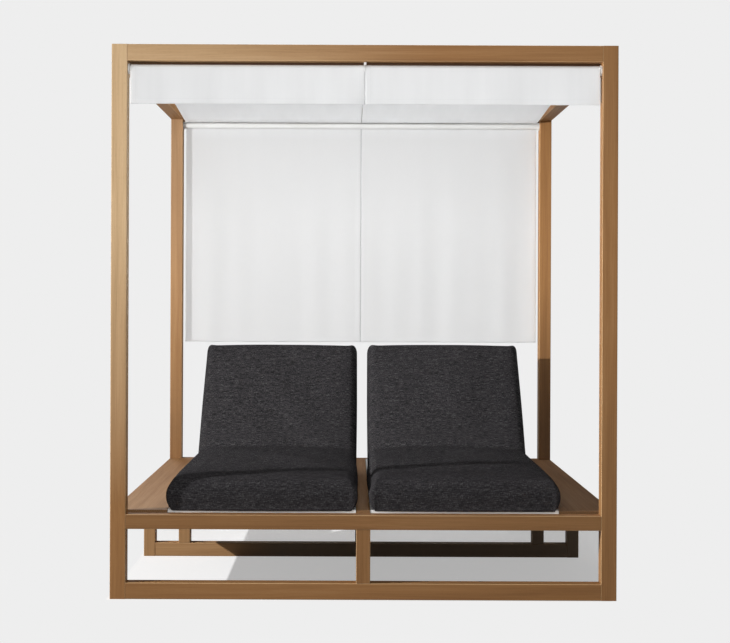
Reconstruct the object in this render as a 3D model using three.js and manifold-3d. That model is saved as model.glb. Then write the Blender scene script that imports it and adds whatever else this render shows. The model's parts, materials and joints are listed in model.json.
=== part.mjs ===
// Outdoor daybed with canopy: a timber cube frame, two reclining loungers with mattresses,
// and a fabric canopy that runs from a front valance over two rods to a rear curtain.
// Units are millimetres. +Z is up, +X is to the right seen from the front, and the front faces -Y.
// The origin is on the floor, under the middle of the frame.
import * as THREE from "three";
import { mergeVertices } from "three/addons/utils/BufferGeometryUtils.js";
import Module from "manifold-3d";

const wasm = await Module();
wasm.setup();

// Whole frame
const width = 2000;
const depth = 2000;
const height = 2190;

// Gap between two pieces that touch, and how far a cutter runs past the face that it cuts
const fit = 0.3;
const overrun = 1;

// Timber sections
const postSize = 62;
const topRailHeight = 65;
const floorRailHeight = 65;
const seatRailHeight = 58;
const midRailHeight = 61;
const centreLegWidth = 56;
const midLegWidth = 53;
const edgeRadius = 3;
const edgeSteps = 2;

// Tenons: how far they enter, how thick they are, and the shoulder left at each edge
const tenonLength = 18;
const tenonThickness = 20;
const tenonShoulder = 9;

// Deck: two side slabs, a strip between the loungers and a board along the back
const seatRailTop = 334;
const deckTop = 344;
const deckThickness = 22;
const sideSlabWidth = 218;
const centreStripWidth = 54;
const innerBeamWidth = 58;
const beamLedgeWidth = 37;
const innerLegInset = 5;

// Lounger: two long rails, a slatted seat panel, and a slatted backrest panel on a hinge rod
const loungerTop = 345;
const loungerGap = 2.5;
const loungerEndGap = 2;
const loungerRailWidth = 25;
const loungerRailHeight = 45;
const crossTubeHeight = 30;
const slatWidth = 40;
const slatThickness = 10;
const seatSlatCount = 15;
const runnerWidth = 25;
const runnerOffset = 165;
const hingeBelowTop = 25;
const hingeRodRadius = 5;
const hingeTubeGap = 25;
const earThickness = 6;
const earRadius = 10;
const hingeEarLength = 34;
const backrestAngle = 49;
const backrestHighest = 65;
const backrestStart = 8;
const backrestSideGap = 3;
const backrestEndGap = 5;
const backrestLength = 681;
const backrestTubeWidth = 22;
const backrestTubeHeight = 16;
const backrestSlatThickness = 8;
const backrestSlatCount = 9;
const spineWidth = 52;
const roundSteps = 20;

// Prop: a strut under the backrest whose foot bar rides on a notched rack
const strutLength = 280;
const strutWidth = 30;
const strutThickness = 10;
const strutEyeRadius = 8;
const strutPinRadius = 4;
const strutEarGap = 3.5;
const strutEyeClearance = 1;
const footBarHalfLength = 40;
const rackWidth = 30;
const rackHeight = 20;
const rackOverlap = 22;
const notchRadius = 6;
const notchDepth = 4;
const propAngles = [0, 15, 30, 40, 49, 57, 65];

// Mattress: a seat section and a back section that meet at the fold over the hinge
const padOverhang = 6;
const padThickness = 94.5;
const padCrown = 45;
const padLift = 0.5;
const padCornerRadius = 32;
const padFrontGap = 5;
const padBackLength = 725;
const padFoldGap = 1.5;
const padSidePull = 5;
const padSideInsets = [9, 3, 0, 3, 8];
const padSideHeightShares = [0, 0.14, 0.5, 0.86, 1];
const padCrownShares = [0.05, 0.13, 0.26, 0.44, 0.68, 0.95];
const padCrownPower = 2.5;
const padCornerLimitShare = 0.9;
const padCornerSteps = 3;
const padSideSteps = 6;

// Canopy: two rods between the posts, and two fabric panels side by side over them
const rodRadius = 15;
const rodWall = 2;
const rodBelowRail = 29;
const flangeRadius = 21;
const flangeThickness = 6.7;
const spigotLength = 16;
const fabricThickness = 2;
const fabricSeamGap = 5;
const valanceSideGap = 9;
const fabricSideGap = 13;
const roofNeck = 45;
const roofSag = 12;
const valanceDrop = 137;
const curtainDrop = 1139;
const rippleDepth = 2.5;
const rippleCount = 5;
const wrapSteps = 4;
const hangerWidth = 10;
const hangerDepth = 16;
const hangerPlate = 3;
const hangerRing = 4;
const hangerClearance = 1.3;

// Materials
const teak = new THREE.MeshStandardMaterial({ color: 0xa87a50, roughness: 0.6, metalness: 0 });
const teakDeck = new THREE.MeshStandardMaterial({ color: 0xa88561, roughness: 0.65, metalness: 0 });
const whiteMetal = new THREE.MeshStandardMaterial({ color: 0xe8e8e6, roughness: 0.4, metalness: 0.1 });
const steel = new THREE.MeshStandardMaterial({ color: 0xb4b6b8, roughness: 0.3, metalness: 1 });
const darkWeave = new THREE.MeshStandardMaterial({ color: 0x2f2f31, roughness: 0.95, metalness: 0 });
const whiteFabric = new THREE.MeshStandardMaterial({ color: 0xf0f0f0, roughness: 0.9, metalness: 0 });

// Heights and places that several pieces share
const halfWidth = width / 2;
const halfDepth = depth / 2;
const postInner = halfWidth - postSize;
const postInnerY = halfDepth - postSize;
const beamTop = deckTop - deckThickness - fit;
const beamBottom = seatRailTop - seatRailHeight;
const ledgeTop = loungerTop - loungerRailHeight - fit;
const bayInner = centreStripWidth / 2;
const bayOuter = halfWidth - sideSlabWidth;
const loungerCentre = (bayInner + bayOuter) / 2;
const loungerHalf = (bayOuter - bayInner) / 2 - loungerGap;
const loungerEnd = postInnerY - loungerEndGap;
const railInner = loungerHalf - loungerRailWidth;
const padHalfWidth = loungerHalf + padOverhang;
const hingeFromMiddle = loungerEnd - backrestEndGap - backrestLength;
const hingeZ = loungerTop - hingeBelowTop;
const valanceHalfWidth = postInner - valanceSideGap;
const fabricHalfWidth = postInner - fabricSideGap;

const root = new THREE.Group();

// The unit vector of each axis, and the two axes across a piece whose grain runs along one of them
const unit = {
  x: new THREE.Vector3(1, 0, 0),
  y: new THREE.Vector3(0, 1, 0),
  z: new THREE.Vector3(0, 0, 1),
};
const across = { x: ["y", "z"], y: ["z", "x"], z: ["x", "y"] };

function solidOf(geometry) {
  const bare = geometry.clone();
  bare.deleteAttribute("normal");
  bare.deleteAttribute("uv");
  const merged = mergeVertices(bare);
  return new wasm.Manifold(
    new wasm.Mesh({
      numProp: 3,
      vertProperties: new Float32Array(merged.attributes.position.array),
      triVerts: new Uint32Array(merged.index.array),
    }),
  );
}

function geometryOf(solid) {
  const mesh = solid.getMesh();
  const geometry = new THREE.BufferGeometry();
  geometry.setAttribute("position", new THREE.BufferAttribute(mesh.vertProperties, 3));
  geometry.setIndex(new THREE.BufferAttribute(mesh.triVerts, 1));
  geometry.computeVertexNormals();
  return geometry;
}

function joined(geometries) {
  return geometries.map(solidOf).reduce((all, next) => all.add(next));
}

function cut(solid, cutters) {
  return cutters.map(solidOf).reduce((left, next) => left.subtract(next), solid);
}

function addMesh(name, geometry, material, parent = root) {
  const mesh = new THREE.Mesh(geometry, material);
  mesh.name = name;
  parent.add(mesh);
  return mesh;
}

// A plain block given by its low and high end along each axis
function block(x, y, z) {
  const geometry = new THREE.BoxGeometry(x[1] - x[0], y[1] - y[0], z[1] - z[0]);
  return geometry.translate((x[0] + x[1]) / 2, (y[0] + y[1]) / 2, (z[0] + z[1]) / 2);
}

// A round bar along X, centred on its own origin
function barAlongX(radius, length, steps = roundSteps) {
  return new THREE.CylinderGeometry(radius, radius, length, steps).rotateZ(-Math.PI / 2);
}

// A length of timber whose four long edges are rounded
function timber(grain, x, y, z) {
  const spans = { x, y, z };
  const [first, second] = across[grain];
  const [u0, u1] = spans[first];
  const [v0, v1] = spans[second];
  const [w0, w1] = spans[grain];
  const r = edgeRadius;
  const outline = new THREE.Shape();
  outline.moveTo(u0 + r, v0);
  outline.lineTo(u1 - r, v0);
  outline.absarc(u1 - r, v0 + r, r, -Math.PI / 2, 0);
  outline.lineTo(u1, v1 - r);
  outline.absarc(u1 - r, v1 - r, r, 0, Math.PI / 2);
  outline.lineTo(u0 + r, v1);
  outline.absarc(u0 + r, v1 - r, r, Math.PI / 2, Math.PI);
  outline.lineTo(u0, v0 + r);
  outline.absarc(u0 + r, v0 + r, r, Math.PI, Math.PI * 1.5);
  const geometry = new THREE.ExtrudeGeometry(outline, {
    depth: w1 - w0,
    bevelEnabled: false,
    curveSegments: edgeSteps,
  });
  const turn = new THREE.Matrix4().makeBasis(unit[first], unit[second], unit[grain]);
  const place = unit[grain].clone().multiplyScalar(w0);
  return geometry.applyMatrix4(turn).translate(place.x, place.y, place.z);
}

// The frame's timbers wait here until every tenon is known, because each mortise is cut for its tenon
const frame = new Map();

// The span of a tenon on one end of a timber: side is -1 for the low end and 1 for the high end
function tenonSpans(grain, spans, side, grow) {
  const end = side < 0 ? spans[grain][0] : spans[grain][1];
  const thick = grain === "y" ? "x" : "y";
  const wide = grain === "z" ? "x" : "z";
  const middle = (spans[thick][0] + spans[thick][1]) / 2;
  const halfThick = tenonThickness / 2 + grow;
  const reach = side * (tenonLength + grow);
  const embed = side * -overrun;
  const along = [end + Math.min(reach, embed), end + Math.max(reach, embed)];
  return {
    [grain]: along,
    [thick]: [middle - halfThick, middle + halfThick],
    [wide]: [spans[wide][0] + tenonShoulder - grow, spans[wide][1] - tenonShoulder + grow],
  };
}

// Adds a timber; low and high name the timbers that its end tenons enter
function addTimber(name, grain, x, y, z, ends = {}, extra = []) {
  const spans = { x, y, z };
  const pieces = [timber(grain, x, y, z), ...extra];
  const mortises = [];
  for (const [side, into] of [[-1, ends.low], [1, ends.high]]) {
    if (!into) continue;
    const tenon = tenonSpans(grain, spans, side, 0);
    const mortise = tenonSpans(grain, spans, side, fit);
    pieces.push(block(tenon.x, tenon.y, tenon.z));
    mortises.push({ into, cutter: block(mortise.x, mortise.y, mortise.z) });
  }
  frame.set(name, { solid: joined(pieces), mortises });
}

// The four corner posts
for (const [row, frontSign] of [["front", -1], ["rear", 1]]) {
  for (const [side, sign] of [["left", -1], ["right", 1]]) {
    const x = [sign * postInner, sign * halfWidth].sort((a, b) => a - b);
    const y = [frontSign * postInnerY, frontSign * halfDepth].sort((a, b) => a - b);
    addTimber(`${row}_${side}_post`, "z", x, y, [0, height]);
  }
}

// Rails that join the posts from left to right, at the front and at the back
const acrossX = [-postInner + fit, postInner - fit];
for (const [row, frontSign] of [["front", -1], ["rear", 1]]) {
  const y = [frontSign * postInnerY, frontSign * halfDepth].sort((a, b) => a - b);
  const ends = { low: `${row}_left_post`, high: `${row}_right_post` };
  const seatTop = row === "front" ? seatRailTop : beamTop;
  addTimber(`${row}_top_rail`, "x", acrossX, y, [height - topRailHeight, height], ends);
  addTimber(`${row}_seat_rail`, "x", acrossX, y, [seatTop - seatRailHeight, seatTop], ends);
  addTimber(`${row}_floor_rail`, "x", acrossX, y, [0, floorRailHeight], ends);
  const legX = [-centreLegWidth / 2, centreLegWidth / 2];
  const legZ = [floorRailHeight + fit, seatTop - seatRailHeight - fit];
  const legEnds = { low: `${row}_floor_rail`, high: `${row}_seat_rail` };
  addTimber(`${row}_centre_leg`, "z", legX, y, legZ, legEnds);
}

// Rails that join the posts from front to back
const acrossY = [-postInnerY + fit, postInnerY - fit];
for (const [side, sign] of [["left", -1], ["right", 1]]) {
  const x = [sign * postInner, sign * halfWidth].sort((a, b) => a - b);
  const ends = { low: `front_${side}_post`, high: `rear_${side}_post` };
  addTimber(`${side}_top_rail`, "y", x, acrossY, [height - topRailHeight, height], ends);
  addTimber(`${side}_side_rail`, "y", x, acrossY, [beamBottom, beamTop], ends);
}

// Beams from front to back under the deck, each with a ledge that carries a lounger's rail
const beamEnds = { low: "front_seat_rail", high: "rear_seat_rail" };
for (const [side, sign] of [["left", -1], ["right", 1]]) {
  const x = [sign * bayOuter, sign * (bayOuter + innerBeamWidth)].sort((a, b) => a - b);
  const ledgeX = [sign * (bayOuter - beamLedgeWidth), sign * (bayOuter + innerBeamWidth / 2)];
  const ledge = timber("y", ledgeX.sort((a, b) => a - b), acrossY, [beamBottom, ledgeTop]);
  addTimber(`${side}_inner_beam`, "y", x, acrossY, [beamBottom, beamTop], beamEnds, [ledge]);
}
const centreLedgeX = [-bayInner - beamLedgeWidth, bayInner + beamLedgeWidth];
const centreLedge = timber("y", centreLedgeX, acrossY, [beamBottom, ledgeTop]);
const centreX = [-bayInner, bayInner];
addTimber("centre_beam", "y", centreX, acrossY, [beamBottom, beamTop], beamEnds, [centreLedge]);

// The frame under the middle of the deck: a floor rail between two outer legs, and three legs on it
const midY = [-postSize / 2, postSize / 2];
const midLegTop = beamBottom - fit;
const outerLegInner = halfWidth - midLegWidth;
for (const [side, sign] of [["left", -1], ["right", 1]]) {
  const outerX = [sign * outerLegInner, sign * halfWidth].sort((a, b) => a - b);
  const innerNear = bayOuter + innerLegInset;
  const innerX = [sign * innerNear, sign * (innerNear + midLegWidth)].sort((a, b) => a - b);
  const innerZ = [midRailHeight + fit, midLegTop];
  const innerEnds = { low: "mid_floor_rail", high: `${side}_inner_beam` };
  addTimber(`${side}_outer_mid_leg`, "z", outerX, midY, [0, midLegTop], { high: `${side}_side_rail` });
  addTimber(`${side}_inner_mid_leg`, "z", innerX, midY, innerZ, innerEnds);
}
const midRailX = [-outerLegInner + fit, outerLegInner - fit];
const midRailEnds = { low: "left_outer_mid_leg", high: "right_outer_mid_leg" };
addTimber("mid_floor_rail", "x", midRailX, midY, [0, midRailHeight], midRailEnds);
const centreLegX = [-centreLegWidth / 2, centreLegWidth / 2];
const centreLegEnds = { low: "mid_floor_rail", high: "centre_beam" };
addTimber("mid_centre_leg", "z", centreLegX, midY, [midRailHeight + fit, midLegTop], centreLegEnds);

for (const { mortises } of frame.values()) {
  for (const { into, cutter } of mortises) {
    const receiver = frame.get(into);
    receiver.solid = cut(receiver.solid, [cutter]);
  }
}
for (const [name, { solid }] of frame) addMesh(name, geometryOf(solid), teak);

// Deck boards on the rails and beams
const deckZ = [deckTop - deckThickness, deckTop];
for (const [side, sign] of [["left", -1], ["right", 1]]) {
  const x = [sign * bayOuter, sign * halfWidth].sort((a, b) => a - b);
  addMesh(`${side}_deck_slab`, timber("y", x, acrossY, deckZ), teakDeck);
}
addMesh("centre_deck_strip", timber("y", centreX, acrossY, deckZ), teakDeck);
addMesh("rear_deck_board", timber("x", acrossX, [postInnerY, halfDepth], deckZ), teakDeck);

// A ring outline of a mattress section, as points from the front left corner round to the right.
// Corners are arcs and the sides between them pull in a little, most in the middle.
function padOutline(half, y0, y1, corner, pull) {
  const points = [];
  const midY = (y0 + y1) / 2;
  const r = Math.min(corner, half * padCornerLimitShare, ((y1 - y0) / 2) * padCornerLimitShare);
  const corners = [
    [half - r, y0 + r, -Math.PI / 2],
    [half - r, y1 - r, 0],
    [-half + r, y1 - r, Math.PI / 2],
    [-half + r, y0 + r, Math.PI],
  ];
  corners.forEach(([cx, cy, start], index) => {
    for (let i = 0; i <= padCornerSteps; i++) {
      const angle = start + ((Math.PI / 2) * i) / padCornerSteps;
      points.push([cx + r * Math.cos(angle), cy + r * Math.sin(angle)]);
    }
    const next = corners[(index + 1) % corners.length];
    const from = points[points.length - 1];
    const to = [next[0] + r * Math.cos(next[2]), next[1] + r * Math.sin(next[2])];
    for (let i = 1; i < padSideSteps; i++) {
      const s = i / padSideSteps;
      const bow = pull * 4 * s * (1 - s);
      const x = from[0] + (to[0] - from[0]) * s;
      const y = from[1] + (to[1] - from[1]) * s;
      const alongY = index % 2 === 0;
      points.push(alongY ? [x - Math.sign(x) * bow, y] : [x, y + Math.sign(midY - y) * bow]);
    }
  });
  return points;
}

// A mattress section: rings of outline points stacked from the flat base up over the crown.
// lowY and highY give the section's two ends at a height above the hinge axis.
function padGeometry(base, lowY, highY) {
  const rings = [];
  padSideHeightShares.forEach((share, i) => {
    const z = base + padThickness * share;
    rings.push({ z, inset: padSideInsets[i], y0: lowY(z), y1: highY(z), pull: padSidePull });
  });
  const seam = base + padThickness;
  const seamInset = padSideInsets[padSideInsets.length - 1];
  const toMiddle = padHalfWidth - seamInset;
  for (const share of padCrownShares) {
    const rise = 1 - Math.pow(1 - share, padCrownPower);
    rings.push({
      z: seam + padCrown * rise,
      inset: seamInset + toMiddle * share,
      y0: lowY(seam),
      y1: highY(seam),
      pull: padSidePull * (1 - share),
    });
  }
  const positions = [];
  for (const { z, inset, y0, y1, pull } of rings) {
    const outline = padOutline(padHalfWidth - inset, y0 + inset, y1 - inset, padCornerRadius, pull);
    for (const [x, y] of outline) positions.push(x, y, z);
  }
  const count = positions.length / 3 / rings.length;
  const index = [];
  for (let k = 0; k + 1 < rings.length; k++) {
    for (let i = 0; i < count; i++) {
      const a = k * count + i;
      const b = k * count + ((i + 1) % count);
      index.push(a, b, b + count, a, b + count, a + count);
    }
  }
  const last = rings.length - 1;
  const middleOf = (ring) => (ring.y0 + ring.y1) / 2;
  const baseCentre = positions.length / 3;
  positions.push(0, middleOf(rings[0]), base, 0, middleOf(rings[last]), seam + padCrown);
  for (let i = 0; i < count; i++) {
    const j = (i + 1) % count;
    index.push(baseCentre, j, i, baseCentre + 1, last * count + i, last * count + j);
  }
  const geometry = new THREE.BufferGeometry();
  geometry.setAttribute("position", new THREE.Float32BufferAttribute(positions, 3));
  geometry.setIndex(index);
  geometry.computeVertexNormals();
  return geometry;
}

// One lounger, built about its hinge axis: y and z are counted from the axis, and the panels are flat
const top = hingeBelowTop;
const frontEnd = -loungerEnd - hingeFromMiddle;
const rearEnd = loungerEnd - hingeFromMiddle;
const foldSlope = Math.tan(THREE.MathUtils.degToRad(backrestHighest / 2));
const foldAt = (z) => z * foldSlope + padFoldGap / 2;

function loungerRail(name, sign, parent) {
  const x = [sign * railInner, sign * loungerHalf].sort((a, b) => a - b);
  const tube = solidOf(block(x, [frontEnd, rearEnd], [top - loungerRailHeight, top]));
  const hole = barAlongX(hingeRodRadius + fit, loungerHalf * 2 + overrun * 2);
  addMesh(name, geometryOf(cut(tube, [hole])), whiteMetal, parent);
}

function seatPanel(name, parent) {
  const x = [-railInner + fit, railInner - fit];
  const rearTube = -hingeTubeGap;
  const tubeZ = [top - crossTubeHeight, top];
  const frontTube = frontEnd + loungerRailWidth;
  const pieces = [
    block(x, [frontEnd, frontTube], tubeZ),
    block(x, [rearTube - loungerRailWidth, rearTube], tubeZ),
  ];
  const runnerY = [frontTube - overrun, rearTube - loungerRailWidth + overrun];
  for (const sign of [-1, 1]) {
    const middle = sign * runnerOffset;
    const runnerX = [middle - runnerWidth / 2, middle + runnerWidth / 2];
    pieces.push(block(runnerX, runnerY, [top - crossTubeHeight, top - slatThickness + overrun]));
  }
  const pitch = (rearTube - loungerRailWidth - frontTube) / seatSlatCount;
  for (let i = 0; i < seatSlatCount; i++) {
    const middle = frontTube + pitch * (i + 0.5);
    const y = [middle - slatWidth / 2, middle + slatWidth / 2];
    pieces.push(block(x, y, [top - slatThickness, top]));
  }
  addMesh(name, geometryOf(joined(pieces)), whiteMetal, parent);
}

// An ear that hangs under the backrest at distance y from the hinge, round below its hole.
// lowTop and highTop are where its two edges meet the frame above, counted from the hole.
function ear(xNear, y, lowTop, highTop) {
  const outline = new THREE.Shape();
  const seat = top - backrestTubeHeight + overrun;
  outline.moveTo(lowTop, seat);
  outline.lineTo(-earRadius, 0);
  outline.absarc(0, 0, earRadius, Math.PI, 2 * Math.PI);
  outline.lineTo(highTop, seat);
  const geometry = new THREE.ExtrudeGeometry(outline, {
    depth: earThickness,
    bevelEnabled: false,
    curveSegments: roundSteps / 2,
  });
  const turn = new THREE.Matrix4().makeBasis(unit.y, unit.z, unit.x);
  return geometry.applyMatrix4(turn).translate(xNear, y, 0);
}

function backrestPanel(name, parent) {
  const half = railInner - backrestSideGap;
  const tubeInner = half - backrestTubeWidth;
  const tubeZ = [top - backrestTubeHeight, top];
  const slatZ = [top - backrestSlatThickness, top];
  const pieces = [];
  for (const sign of [-1, 1]) {
    const x = [sign * tubeInner, sign * half].sort((a, b) => a - b);
    pieces.push(block(x, [backrestStart, backrestLength], tubeZ));
    const hingeEar = sign < 0 ? -tubeInner - earThickness : tubeInner;
    pieces.push(ear(hingeEar, 0, backrestStart, backrestStart + hingeEarLength));
    const strutEar = strutWidth / 2 + strutEarGap;
    const strutEarX = sign < 0 ? -strutEar - earThickness : strutEar;
    pieces.push(ear(strutEarX, strutLength, -earRadius, earRadius));
  }
  const spineX = [-spineWidth / 2, spineWidth / 2];
  pieces.push(block(spineX, [backrestStart, backrestLength], [tubeZ[0], slatZ[0] + overrun]));
  const pitch = (backrestLength - backrestStart - slatWidth) / (backrestSlatCount - 1);
  for (let i = 0; i < backrestSlatCount; i++) {
    const y = backrestStart + pitch * i;
    pieces.push(block([-tubeInner - overrun, tubeInner + overrun], [y, y + slatWidth], slatZ));
  }
  const hingeHole = barAlongX(hingeRodRadius + fit, loungerHalf * 2);
  const strutHole = barAlongX(strutPinRadius + fit, spineWidth + overrun * 2).translate(0, strutLength, 0);
  addMesh(name, geometryOf(cut(joined(pieces), [hingeHole, strutHole])), whiteMetal, parent);
}

// The strut runs from its eye, at its own origin, along +Y to the foot bar
function propStrut(name, parent) {
  const eyeHalf = strutWidth / 2;
  const thickness = [-strutThickness / 2, strutThickness / 2];
  const pieces = [
    block([-eyeHalf, eyeHalf], [0, strutLength], thickness),
    barAlongX(strutEyeRadius, strutWidth),
    barAlongX(strutPinRadius, strutWidth + (strutEarGap + earThickness) * 2),
    barAlongX(strutThickness / 2, footBarHalfLength * 2).translate(0, strutLength, 0),
  ];
  addMesh(name, geometryOf(joined(pieces)), steel, parent);
}

// The notched rack lies under the foot bar's path, with one notch for each angle of the backrest
// and a recess that takes the strut's eye when the backrest lies flat
function propRack(name, parent) {
  const crest = -strutThickness / 2 - fit;
  const x = [-rackWidth / 2, rackWidth / 2];
  const start = -hingeTubeGap - rackOverlap;
  const end = rearEnd + loungerEndGap - fit;
  const bar = solidOf(block(x, [start, end], [crest - rackHeight, crest]));
  const notches = propAngles.map((degrees) => {
    const foot = 2 * strutLength * Math.cos(THREE.MathUtils.degToRad(degrees));
    const middle = crest - notchDepth + notchRadius;
    return barAlongX(notchRadius, rackWidth + overrun * 2).translate(0, foot, middle);
  });
  const recess = barAlongX(strutEyeRadius + strutEyeClearance, rackWidth + overrun * 2);
  const cutters = [...notches, recess.translate(0, strutLength, 0)];
  addMesh(name, geometryOf(cut(bar, cutters)), whiteMetal, parent);
}

for (const [side, sign] of [["left", -1], ["right", 1]]) {
  const lounger = new THREE.Group();
  lounger.position.set(sign * loungerCentre, hingeFromMiddle, hingeZ);
  root.add(lounger);
  loungerRail(`${side}_lounger_outer_rail`, sign, lounger);
  loungerRail(`${side}_lounger_inner_rail`, -sign, lounger);
  seatPanel(`${side}_seat_panel`, lounger);
  addMesh(`${side}_hinge_rod`, barAlongX(hingeRodRadius, loungerHalf * 2), steel, lounger);
  propRack(`${side}_prop_rack`, lounger);
  const seatFront = frontEnd + padFrontGap;
  const seatPad = padGeometry(top + padLift, () => seatFront, (z) => -foldAt(z));
  addMesh(`${side}_seat_cushion`, seatPad, darkWeave, lounger);

  const backrest = new THREE.Group();
  backrest.rotation.x = THREE.MathUtils.degToRad(backrestAngle);
  lounger.add(backrest);
  backrestPanel(`${side}_backrest_panel`, backrest);
  const backPad = padGeometry(top + padLift, foldAt, () => padBackLength);
  addMesh(`${side}_back_cushion`, backPad, darkWeave, backrest);

  const strut = new THREE.Group();
  strut.position.set(0, strutLength, 0);
  strut.rotation.x = THREE.MathUtils.degToRad(-2 * backrestAngle);
  backrest.add(strut);
  propStrut(`${side}_prop_strut`, strut);
}

// Canopy rods, on the centre lines of the posts
const rodZ = height - topRailHeight - rodBelowRail;
const rodY = halfDepth - postSize / 2;
const flangeFace = postInner - fit;
const rodHalf = flangeFace - flangeThickness - fit;

function rodGeometry() {
  const inner = rodRadius - rodWall;
  const profile = [
    new THREE.Vector2(inner, -rodHalf),
    new THREE.Vector2(rodRadius, -rodHalf),
    new THREE.Vector2(rodRadius, rodHalf),
    new THREE.Vector2(inner, rodHalf),
    new THREE.Vector2(inner, -rodHalf),
  ];
  return new THREE.LatheGeometry(profile, roundSteps).rotateZ(-Math.PI / 2);
}

// A flange against the post and a spigot inside the rod's end; it points along +X
function bracketGeometry() {
  const spigotRadius = rodRadius - rodWall - fit;
  const shoulder = flangeFace - flangeThickness;
  const profile = [
    new THREE.Vector2(0, shoulder - spigotLength),
    new THREE.Vector2(spigotRadius, shoulder - spigotLength),
    new THREE.Vector2(spigotRadius, shoulder),
    new THREE.Vector2(flangeRadius, shoulder),
    new THREE.Vector2(flangeRadius, flangeFace),
    new THREE.Vector2(0, flangeFace),
  ];
  return new THREE.LatheGeometry(profile, roundSteps).rotateZ(-Math.PI / 2);
}

for (const [row, frontSign] of [["front", -1], ["rear", 1]]) {
  const rod = addMesh(`${row}_canopy_rod`, rodGeometry(), whiteMetal);
  rod.position.set(0, frontSign * rodY, rodZ);
  for (const [side, turn] of [["left", Math.PI], ["right", 0]]) {
    const bracket = addMesh(`${row}_${side}_rod_bracket`, bracketGeometry(), whiteMetal);
    bracket.position.set(0, frontSign * rodY, rodZ);
    bracket.rotation.z = turn;
  }
}

// The hanger in the middle of the front rod: a ring round the rod, and a block up to the top rail
const ringInner = rodRadius + fit;
const ringOuter = ringInner + hangerRing;
const ringShape = new THREE.Shape().absarc(0, 0, ringOuter, 0, 2 * Math.PI);
ringShape.holes.push(new THREE.Path().absarc(0, 0, ringInner, 0, 2 * Math.PI));
const ring = new THREE.ExtrudeGeometry(ringShape, {
  depth: hangerPlate,
  bevelEnabled: false,
  curveSegments: roundSteps,
})
  .applyMatrix4(new THREE.Matrix4().makeBasis(unit.y, unit.z, unit.x))
  .translate(-hangerPlate / 2, 0, 0);
const hangerY = [-hangerDepth / 2, hangerDepth / 2];
const hangerX = [-hangerWidth / 2, hangerWidth / 2];
const blockBottom = rodRadius + fit + fabricThickness + hangerClearance;
const hangerTop = rodBelowRail - fit;
const hangerPieces = [
  ring,
  block([-hangerPlate / 2, hangerPlate / 2], hangerY, [ringInner + overrun, blockBottom + overrun]),
  block(hangerX, hangerY, [blockBottom, hangerTop]),
];
const hanger = addMesh("front_rod_hanger", geometryOf(joined(hangerPieces)), whiteMetal);
hanger.position.set(0, -rodY, rodZ);

// A sheet of fabric: place(u, v, out) gives a point, with u from the seam to the outer edge,
// v along the drop and out from the inner face (0) to the outer face (1).
// order is 1 where u, v and out make a right-handed set, and -1 where they don't.
function sheetGeometry(place, uSteps, vSteps, order) {
  const positions = [];
  for (const out of [0, 1]) {
    for (let j = 0; j <= vSteps; j++) {
      for (let i = 0; i <= uSteps; i++) positions.push(...place(i / uSteps, j / vSteps, out));
    }
  }
  const row = uSteps + 1;
  const layer = row * (vSteps + 1);
  const index = [];
  const quad = (a, b, c, d) => {
    if (order > 0) index.push(a, b, c, a, c, d);
    else index.push(a, c, b, a, d, c);
  };
  for (let j = 0; j < vSteps; j++) {
    for (let i = 0; i < uSteps; i++) {
      const a = j * row + i;
      quad(layer + a, layer + a + 1, layer + a + row + 1, layer + a + row);
      quad(a, a + row, a + row + 1, a + 1);
    }
  }
  for (let i = 0; i < uSteps; i++) {
    const far = vSteps * row + i;
    quad(i, i + 1, layer + i + 1, layer + i);
    quad(far + 1, far, layer + far, layer + far + 1);
  }
  for (let j = 0; j < vSteps; j++) {
    const near = j * row;
    const far = near + uSteps;
    quad(near + row, near, layer + near, layer + near + row);
    quad(far, far + row, layer + far + row, layer + far);
  }
  const geometry = new THREE.BufferGeometry();
  geometry.setAttribute("position", new THREE.Float32BufferAttribute(positions, 3));
  geometry.setIndex(index);
  geometry.computeVertexNormals();
  return geometry;
}

// Distance down a hanging sheet at each of its rows: a quarter turn over the rod, then the drop
const wrapRadius = rodRadius + fit;
function hangingPlace(sign, rodSign, half, drop, drops) {
  return (u, v, out) => {
    const row = Math.round(v * (wrapSteps + drops));
    const radius = wrapRadius + fabricThickness * out;
    const seam = fabricSeamGap / 2;
    const x = sign * (seam + (half - seam) * u);
    if (row <= wrapSteps) {
      const angle = (Math.PI / 2) * (1 - row / wrapSteps);
      const y = radius * Math.cos(angle) + (row === 0 ? fit : 0);
      return [x, rodSign * (rodY + y), rodZ + radius * Math.sin(angle)];
    }
    const down = (row - wrapSteps) / drops;
    const wave = Math.sin(u * rippleCount * 2 * Math.PI) * Math.sin((down * Math.PI) / 2);
    return [x, rodSign * (rodY + radius + rippleDepth * wave), rodZ - drop * down];
  };
}

function roofPlace(sign) {
  return (u, v, out) => {
    const y = -rodY + 2 * rodY * v;
    const hollow = 1 - Math.pow(y / rodY, 2);
    const seam = fabricSeamGap / 2;
    const half = fabricHalfWidth - roofNeck * hollow;
    const x = sign * (seam + (half - seam) * u);
    return [x, y, rodZ + wrapRadius + fabricThickness * out - roofSag * hollow];
  };
}

const rippleColumns = rippleCount * 4;
const valanceDrops = 2;
const curtainDrops = 6;
const roofColumns = 6;
const roofRows = 12;
for (const [side, sign] of [["left", -1], ["right", 1]]) {
  const valance = hangingPlace(sign, -1, valanceHalfWidth, valanceDrop, valanceDrops);
  const valanceRows = wrapSteps + valanceDrops;
  addMesh(`${side}_valance`, sheetGeometry(valance, rippleColumns, valanceRows, -sign), whiteFabric);
  addMesh(`${side}_roof_panel`, sheetGeometry(roofPlace(sign), roofColumns, roofRows, sign), whiteFabric);
  const curtain = hangingPlace(sign, 1, fabricHalfWidth, curtainDrop, curtainDrops);
  const curtainRows = wrapSteps + curtainDrops;
  addMesh(`${side}_rear_curtain`, sheetGeometry(curtain, rippleColumns, curtainRows, sign), whiteFabric);
}

export default root;
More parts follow.
